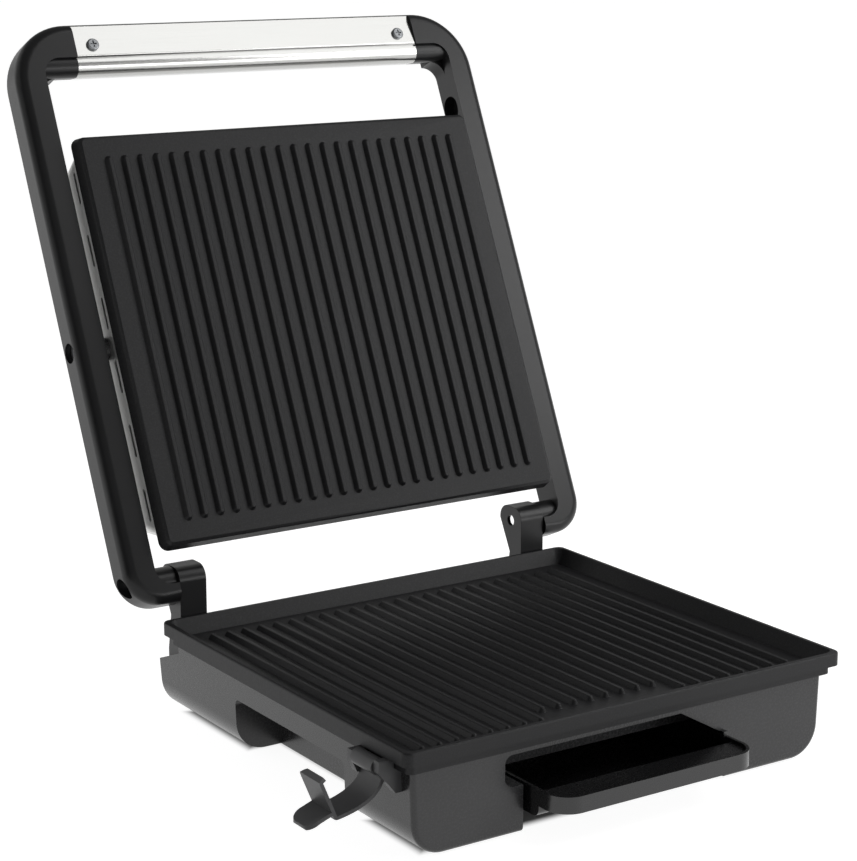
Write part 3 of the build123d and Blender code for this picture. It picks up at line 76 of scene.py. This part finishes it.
def seen_rays(tree):
    """1 for rays from the camera, from mirrors and through glass, 0 for the light that falls on things."""
    path = add(tree, "ShaderNodeLightPath")
    direct = add(tree, "ShaderNodeMath", {
        0: path.outputs["Is Camera Ray"], 1: path.outputs["Is Glossy Ray"]}, operation="MAXIMUM")
    seen = add(tree, "ShaderNodeMath", {
        0: direct.outputs[0], 1: path.outputs["Is Transmission Ray"]}, operation="MAXIMUM")
    return seen.outputs[0]


# The paper glows outside the base and under its two hand grips; under the rest of the base
# its glow is masked out, a painted shadow that the lower edges of the base also reflect.
paper, tree = blank("white_paper")
paper_glow = 0.93
base_middle = (0.0, 0.0125, 0.0)
base_half = (0.129, 0.129, 0.0)
grip_middle = (0.0, -0.0125, 0.0)
grip_half = (0.108, 0.066, 0.0)
painted_shadow_inside = -0.004
painted_shadow_outside = 0.005
matt = add(tree, "ShaderNodeBsdfDiffuse", {"Color": linear("#a8a8a8")})
place = add(tree, "ShaderNodeTexCoord")
centred = add(tree, "ShaderNodeVectorMath", {
    0: place.outputs["Object"], 1: base_middle}, operation="SUBTRACT")
outward = add(tree, "ShaderNodeVectorMath", {0: centred.outputs[0]}, operation="ABSOLUTE")
outward = add(tree, "ShaderNodeVectorMath", {0: outward.outputs[0], 1: base_half}, operation="SUBTRACT")
outward = add(tree, "ShaderNodeSeparateXYZ", {0: outward.outputs[0]})
outward = add(tree, "ShaderNodeMath", {
    0: outward.outputs["X"], 1: outward.outputs["Y"]}, operation="MAXIMUM")
arch = add(tree, "ShaderNodeVectorMath", {0: centred.outputs[0], 1: grip_middle}, operation="SUBTRACT")
arch = add(tree, "ShaderNodeVectorMath", {0: arch.outputs[0]}, operation="ABSOLUTE")
arch = add(tree, "ShaderNodeVectorMath", {0: arch.outputs[0], 1: grip_half}, operation="SUBTRACT")
arch = add(tree, "ShaderNodeVectorMath", {0: arch.outputs[0], 1: (1, -1, 1)}, operation="MULTIPLY")
arch = add(tree, "ShaderNodeSeparateXYZ", {0: arch.outputs[0]})
arch = add(tree, "ShaderNodeMath", {0: arch.outputs["X"], 1: arch.outputs["Y"]}, operation="MINIMUM")
past_painted_shadow = add(tree, "ShaderNodeMath", {0: outward.outputs[0], 1: arch.outputs[0]}, operation="MAXIMUM")
# Painted shadow: the glow ramps from nothing just inside the base's outline to full just outside it.
glow_past_painted_shadow = add(tree, "ShaderNodeMapRange", {
    "Value": past_painted_shadow.outputs[0], "From Min": painted_shadow_inside, "From Max": painted_shadow_outside, "To Max": paper_glow},
    interpolation_type="SMOOTHSTEP")
share = add(tree, "ShaderNodeMath", {0: seen_rays(tree), 1: glow_past_painted_shadow.outputs["Result"]}, operation="MULTIPLY")
glow = add(tree, "ShaderNodeEmission", {"Color": (1, 1, 1, 1), "Strength": share.outputs[0]})
both = add(tree, "ShaderNodeAddShader", {0: matt.outputs[0], 1: glow.outputs[0]})
add(tree, "ShaderNodeOutputMaterial", {"Surface": both.outputs[0]})
floor_mesh = bpy.data.meshes.new("table")
table_half = 40.0
table_corners = [(table_half * x, table_half * y, 0) for x, y in ((-1, -1), (1, -1), (1, 1), (-1, 1))]
floor_mesh.from_pydata(table_corners, [], [(0, 1, 2, 3)])
floor = bpy.data.objects.new("table", floor_mesh)
floor_mesh.materials.append(paper)
scene.collection.objects.link(floor)

# The room's limits are parts of a unit direction: Z is up and X is to the right.
world = bpy.data.worlds.new("room")
scene.world = world
world.use_nodes = True
world.node_tree.nodes.clear()
tree = world.node_tree
wall_z, ceiling_z = 0.16, 0.5
wall_glow, ceiling_glow = 0.6, 0.2
dark_x, open_x = -0.85, -0.5
dark_share = 0.08
white_z, white_end_z = 0.03, 0.07
view = add(tree, "ShaderNodeTexCoord")
heading = add(tree, "ShaderNodeSeparateXYZ", {0: view.outputs["Generated"]})
ceiling = add(tree, "ShaderNodeMapRange", {
    "Value": heading.outputs["Z"], "From Min": wall_z, "From Max": ceiling_z,
    "To Min": wall_glow, "To Max": ceiling_glow}, interpolation_type="SMOOTHSTEP")
dark_wall = add(tree, "ShaderNodeMapRange", {
    "Value": heading.outputs["X"], "From Min": dark_x, "From Max": open_x,
    "To Min": dark_share, "To Max": 1.0}, interpolation_type="SMOOTHSTEP")
level = add(tree, "ShaderNodeMath", {
    0: ceiling.outputs["Result"], 1: dark_wall.outputs["Result"]}, operation="MULTIPLY")
horizon = add(tree, "ShaderNodeMapRange", {
    "Value": heading.outputs["Z"], "From Min": white_z, "From Max": white_end_z,
    "To Min": 1.0, "To Max": 0.0}, interpolation_type="SMOOTHSTEP")
level = add(tree, "ShaderNodeMath", {
    0: level.outputs[0], 1: horizon.outputs["Result"]}, operation="MAXIMUM")
room = add(tree, "ShaderNodeBackground", {"Color": (1, 1, 1, 1), "Strength": level.outputs[0]})
add(tree, "ShaderNodeOutputWorld", {"Surface": room.outputs[0]})


def soft_box(name, place, target, size, watts):
    """Rectangular lamp at a place, facing a target."""
    lamp = bpy.data.lights.new(name, "AREA")
    lamp.shape = "RECTANGLE"
    lamp.size, lamp.size_y = size
    lamp.energy = watts
    holder = bpy.data.objects.new(name, lamp)
    scene.collection.objects.link(holder)
    back = np.array(place, float) - np.array(target, float)
    back /= np.linalg.norm(back)
    side = np.cross((0, 0, 1), back)
    side /= np.linalg.norm(side)
    rise = np.cross(back, side)
    turn = np.eye(4)
    turn[:3, 0], turn[:3, 1], turn[:3, 2], turn[:3, 3] = side, rise, back, place
    holder.matrix_world = Matrix(turn.tolist())


soft_box("soft_box_right", (0.68, -0.38, 0.68), (0.10, 0.2, 0.25), (0.45, 0.5), 2.9)
soft_box("soft_box_high", (0.62, -0.35, 1.40), (0.0, 0.24, 0.39), (0.9, 0.7), 3.4)
soft_box("soft_box_front", (0.75, -1.10, 0.20), (0.0, -0.1, 0.05), (0.8, 0.36), 3.6)
soft_box("soft_box_left", (-0.95, 0.7, 0.5), (-0.14, 0.1, 0.05), (1.5, 1.2), 3.4)


# Base housing. One injection moulding in dark grey ABS with four corner legs,
# hand grips in both sides, a recess over the drip tray and a low deck at the back.
# The cord gland in its rear wall is of the same plastic.
def plain_shading(sharp_deg):
    """Geometry group that smooths a solid, except at edges that turn by more than sharp_deg degrees."""
    group = bpy.data.node_groups.new("plain_shading", "GeometryNodeTree")
    group.interface.new_socket("Geometry", in_out="INPUT", socket_type="NodeSocketGeometry")
    group.interface.new_socket("Geometry", in_out="OUTPUT", socket_type="NodeSocketGeometry")
    source = add(group, "NodeGroupInput")
    smooth = add(group, "GeometryNodeSetShadeSmooth", {"Geometry": source.outputs[0], "Shade Smooth": True})
    angle = add(group, "GeometryNodeInputMeshEdgeAngle")
    flat = add(group, "ShaderNodeMath", {
        0: angle.outputs["Unsigned Angle"], 1: radians(sharp_deg)}, operation="LESS_THAN")
    crease = add(group, "GeometryNodeSetShadeSmooth", {
        "Geometry": smooth.outputs[0], "Shade Smooth": flat.outputs[0]}, domain="EDGE")
    add(group, "NodeGroupOutput", {0: crease.outputs[0]})
    return group


smooth_group = plain_shading(32)


def dress(name, material, edge_mm=0.4):
    """Give a solid of the frame its finish: weld its triangles, break its edges and smooth the curves."""
    piece = nodes[name]
    piece.data.materials.clear()
    piece.data.materials.append(material)
    weld = piece.modifiers.new("weld", "WELD")
    weld.merge_threshold = 1e-6
    if edge_mm:
        edge = piece.modifiers.new("edge", "BEVEL")
        edge.width = edge_mm / 1000
        edge.segments = 3
        edge.limit_method = "ANGLE"
        edge.angle_limit = radians(40)
    smooth = piece.modifiers.new("smooth", "NODES")
    smooth.node_group = smooth_group
    even = piece.modifiers.new("even", "WEIGHTED_NORMAL")
    even.mode = "FACE_AREA"
    even.weight = 50
    even.keep_sharp = True


def moulded_abs(name, shade, light_shade, roughness, gloss=0.4, grain_mm=1.4, depth_mm=0.03):
    """ABS from a spark-eroded mould: even dark grey, satin, with a fine pebble grain.
    The real grain is about 0.3 mm; it is drawn coarser so that it shows. The colour drifts over 60 mm."""
    cloud_mm = 60
    rough_spread = 0.05
    material, tree = blank(name)
    place = add(tree, "ShaderNodeTexCoord")
    cloud = add(tree, "ShaderNodeTexNoise", {
        "Vector": place.outputs["Object"], "Scale": 1000 / cloud_mm, "Detail": 2.0})
    tint = add(tree, "ShaderNodeValToRGB", {"Fac": cloud.outputs["Fac"]})
    tint.color_ramp.elements[0].position = 0.35
    tint.color_ramp.elements[0].color = linear(shade)
    tint.color_ramp.elements[1].position = 0.65
    tint.color_ramp.elements[1].color = linear(light_shade)
    grain = add(tree, "ShaderNodeTexNoise", {
        "Vector": place.outputs["Object"], "Scale": 1000 / grain_mm, "Detail": 1.0})
    rough = add(tree, "ShaderNodeMapRange", {
        "Value": grain.outputs["Fac"], "To Min": roughness - rough_spread,
        "To Max": roughness + rough_spread})
    bump = add(tree, "ShaderNodeBump", {
        "Height": grain.outputs["Fac"], "Strength": 0.35, "Distance": depth_mm / 1000})
    body = add(tree, "ShaderNodeBsdfPrincipled", {
        "Base Color": tint.outputs["Color"], "Roughness": rough.outputs["Result"], "IOR": 1.53,
        "Specular IOR Level": gloss, "Normal": bump.outputs["Normal"]})
    add(tree, "ShaderNodeOutputMaterial", {"Surface": body.outputs[0]})
    return material


housing_abs = moulded_abs("housing_abs", "#313132", "#363637", 0.27, 0.45, 1.4, 0.01)
dress("base_shell", housing_abs)
dress("cord_gland", housing_abs)


# Rubber feet let into the legs, and the zinc-plated steel of the base: a sheet hatch
# that closes it from below, the thermal fuse and the screws of hatch, plate, brackets and latch.
foot_rubber = moulded_abs("foot_rubber", "#151515", "#1a1a1a", 0.7, 0.3, 2.0, 0.05)
dress("rubber_feet", foot_rubber)


def plated_steel(name, shade, roughness, streak_mm):
    """Zinc-plated steel: pale grey metal, slightly cloudy where the plating bath left it uneven."""
    rough_spread = 0.08
    material, tree = blank(name)
    place = add(tree, "ShaderNodeTexCoord")
    cloud = add(tree, "ShaderNodeTexNoise", {
        "Vector": place.outputs["Object"], "Scale": 1000 / streak_mm, "Detail": 3.0})
    rough = add(tree, "ShaderNodeMapRange", {
        "Value": cloud.outputs["Fac"], "To Min": roughness - rough_spread,
        "To Max": roughness + rough_spread})
    body = add(tree, "ShaderNodeBsdfPrincipled", {
        "Base Color": linear(shade), "Metallic": 1.0, "Roughness": rough.outputs["Result"]})
    add(tree, "ShaderNodeOutputMaterial", {"Surface": body.outputs[0]})
    return material


zinc = plated_steel("zinc_plated_steel", "#b9bbbd", 0.34, 6.0)
zinc_pieces = (
    "bottom_cover", "thermal_fuse", "bottom_screws", "plate_screws", "bracket_screws", "latch_screws")
for name in zinc_pieces:
    dress(name, zinc, 0.15)


# Lower grill plate. Die-cast aluminium with a sprayed dark non-stick coat:
# a raised rim, a shallow basin and a row of ribs, clamped to the housing from below.
def nonstick_coat(name, shade, fleck, roughness):
    """Non-stick coat on a casting: near black, satin, with tiny paler flecks and a fine orange-peel.
    Flecks are about 0.4 mm on the real coat and drawn at 1 mm so that they show."""
    fleck_mm = 1.0
    peel_mm = 1.8
    peel_depth_mm = 0.04
    rough_spread = 0.06
    material, tree = blank(name)
    place = add(tree, "ShaderNodeTexCoord")
    specks = add(tree, "ShaderNodeTexNoise", {
        "Vector": place.outputs["Object"], "Scale": 1000 / fleck_mm, "Detail": 2.0})
    tint = add(tree, "ShaderNodeValToRGB", {"Fac": specks.outputs["Fac"]})
    tint.color_ramp.elements[0].position = 0.45
    tint.color_ramp.elements[0].color = linear(shade)
    tint.color_ramp.elements[1].position = 0.75
    tint.color_ramp.elements[1].color = linear(fleck)
    peel = add(tree, "ShaderNodeTexNoise", {
        "Vector": place.outputs["Object"], "Scale": 1000 / peel_mm, "Detail": 1.0})
    rough = add(tree, "ShaderNodeMapRange", {
        "Value": peel.outputs["Fac"], "To Min": roughness - rough_spread,
        "To Max": roughness + rough_spread})
    bump = add(tree, "ShaderNodeBump", {
        "Height": peel.outputs["Fac"], "Strength": 0.3, "Distance": peel_depth_mm / 1000})
    body = add(tree, "ShaderNodeBsdfPrincipled", {
        "Base Color": tint.outputs["Color"], "Roughness": rough.outputs["Result"], "IOR": 1.35,
        "Normal": bump.outputs["Normal"]})
    add(tree, "ShaderNodeOutputMaterial", {"Surface": body.outputs[0]})
    return material


coat = nonstick_coat("nonstick_coat", "#1d1d1e", "#29292b", 0.5)
dress("lower_grill_plate", coat, 0.9)


# Heating and control parts behind the plates: oxidised steel heating rods, bright
# reflector sheets, thermoset thermostats and terminal block, zinc-plated screws and
# the bent straps that carry the pivots of the upper plate.
sheath = plated_steel("oxidised_steel_sheath", "#55504c", 0.5, 12.0)
bright_sheet = plated_steel("bright_aluminium_sheet", "#d4d5d6", 0.22, 30.0)
thermoset = moulded_abs("brown_thermoset", "#3a241b", "#432a20", 0.5, 0.4, 2.0, 0.03)
for name in ("lower_heating_element", "upper_heating_element"):
    dress(name, sheath, 0)
for name in ("lower_reflector", "upper_reflector"):
    dress(name, bright_sheet, 0)
for name in ("lower_thermostat", "upper_thermostat", "terminal_block"):
    dress(name, thermoset, 0.2)
for name in ("lower_reflector_screws", "upper_reflector_screws", "strap_screws"):
    dress(name, zinc, 0.15)
for name in ("pivot_strap_left", "pivot_strap_right"):
    dress(name, zinc, 0.15)


# Hinge brackets. Two hollow ABS uprights screwed to the rear deck, open at the
# back, with a peep hole in the inner cheek; steel shoulder screws carry the arms.
arm_abs = moulded_abs("arm_abs", "#1a1a1b", "#1e1e1f", 0.32, 0.27, 1.4, 0.01)
for name in ("hinge_bracket_left", "hinge_bracket_right"):
    dress(name, arm_abs)
for name in ("hinge_pin_left", "hinge_pin_right"):
    dress(name, zinc, 0.2)


# Lid arms. Black mouldings of the same plastic as the brackets, with soft outer edges;
# each turns on its hinge pin and carries a pivot of the upper plate.
for name in ("arm_left", "arm_right"):
    dress(name, arm_abs)


# Handle. A brushed stainless skin folded round a moulded core, held by two
# cross-head screws; the brush lines run along the handle.
def brushed_stainless(name, shade, roughness, line_mm):
    """Stainless sheet brushed along X: fine lines that spread the gloss across the brush direction.
    The real lines are under 0.1 mm apart; they are drawn coarser so that they show."""
    line_depth_mm = 0.05
    rough_spread = 0.06
    material, tree = blank(name)
    place = add(tree, "ShaderNodeTexCoord")
    stretch = add(tree, "ShaderNodeMapping", {"Vector": place.outputs["Object"], "Scale": (0.02, 1.0, 1.0)})
    lines = add(tree, "ShaderNodeTexNoise", {
        "Vector": stretch.outputs["Vector"], "Scale": 1000 / line_mm, "Detail": 4.0, "Roughness": 0.7})
    rough = add(tree, "ShaderNodeMapRange", {
        "Value": lines.outputs["Fac"], "To Min": roughness - rough_spread,
        "To Max": roughness + rough_spread})
    bump = add(tree, "ShaderNodeBump", {
        "Height": lines.outputs["Fac"], "Strength": 0.12, "Distance": line_depth_mm / 1000})
    body = add(tree, "ShaderNodeBsdfPrincipled", {
        "Base Color": linear(shade), "Metallic": 1.0, "Roughness": rough.outputs["Result"],
        "Normal": bump.outputs["Normal"]})
    add(tree, "ShaderNodeOutputMaterial", {"Surface": body.outputs[0]})
    return material


stainless = brushed_stainless("brushed_stainless", "#b8b8b6", 0.2, 0.9)
dress("handle_grip", stainless, 0)
dress("handle_core", arm_abs, 0)
handle_screw_steel = plated_steel("dull_screw_steel", "#8e9092", 0.4, 4.0)
dress("handle_screws", handle_screw_steel, 0.15)


# Upper unit. A ribbed casting with the same coat as the lower plate, closed behind
# by a pressed stainless cover, hung on two black bosses that let it rock.
dress("upper_grill_plate", coat, 0.9)
cover_steel = brushed_stainless("brushed_cover", "#f0f0ee", 0.5, 1.1)
dress("upper_cover", cover_steel, 0)
dress("upper_cover_screws", zinc, 0.15)
for name in ("pivot_boss_left", "pivot_boss_right"):
    dress(name, housing_abs)
for name in ("pivot_screw_left", "pivot_screw_right"):
    dress(name, zinc, 0.2)


# Drip tray. A thin dark moulding with a bowed lip. It slides on two runners into the
# front recess and catches the fat from the drain slot.
tray_abs = moulded_abs("tray_abs", "#19191a", "#1d1d1e", 0.26, 0.6)
dress("drip_tray", tray_abs, 0.4)


# Side latch. A moulded hook that turns on a steel pin between two lugs of its bracket,
# which is screwed to the left side of the housing.
# Painted light: the latch is the housing's grey plastic, coloured paler here so that it looks lit where the
# lamps leave it dim.
latch_abs_painted_light = moulded_abs("latch_abs_painted_light", "#535354", "#585859", 0.42, 0.28)
dress("latch_lever", latch_abs_painted_light, 0.6)
dress("latch_bracket", latch_abs_painted_light, 0.4)
dress("latch_pin", zinc, 0.2)
